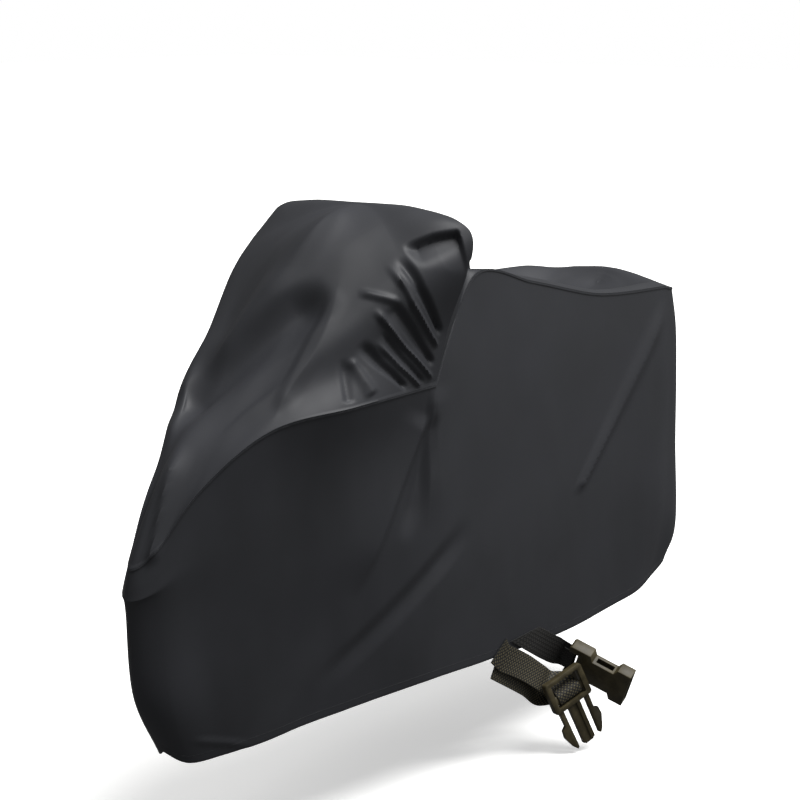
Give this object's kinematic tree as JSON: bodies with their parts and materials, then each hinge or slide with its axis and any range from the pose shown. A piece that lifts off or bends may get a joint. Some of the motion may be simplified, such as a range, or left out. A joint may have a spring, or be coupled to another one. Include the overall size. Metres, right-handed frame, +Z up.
{
  "type": "motorcycle cover",
  "caption": "Fitted dark cloth cover that keeps the shape of a motorcycle, with webbing straps and a side-release buckle at its hem.",
  "frame": {"origin": "the point under the top panel, on the middle plane, that rests on the middle of the handlebar", "axes": "+Z up, -Y towards the front wheel, +X towards the side with the straps"},
  "size_m": [0.7921, 1.9642, 1.4815],
  "materials": {
    "cover_cloth": "satin coated polyester, charcoal",
    "webbing": "dull woven webbing, near black",
    "buckle_plastic": "satin moulded plastic, olive"
  },
  "bodies": {
    "root": {"top_panel": "cover_cloth", "left_panel": "cover_cloth", "right_panel": "cover_cloth", "front_strap": "webbing", "rear_strap": "webbing", "buckle_prongs": "buckle_plastic", "buckle_socket": "buckle_plastic"}
  },
  "joints": []
}
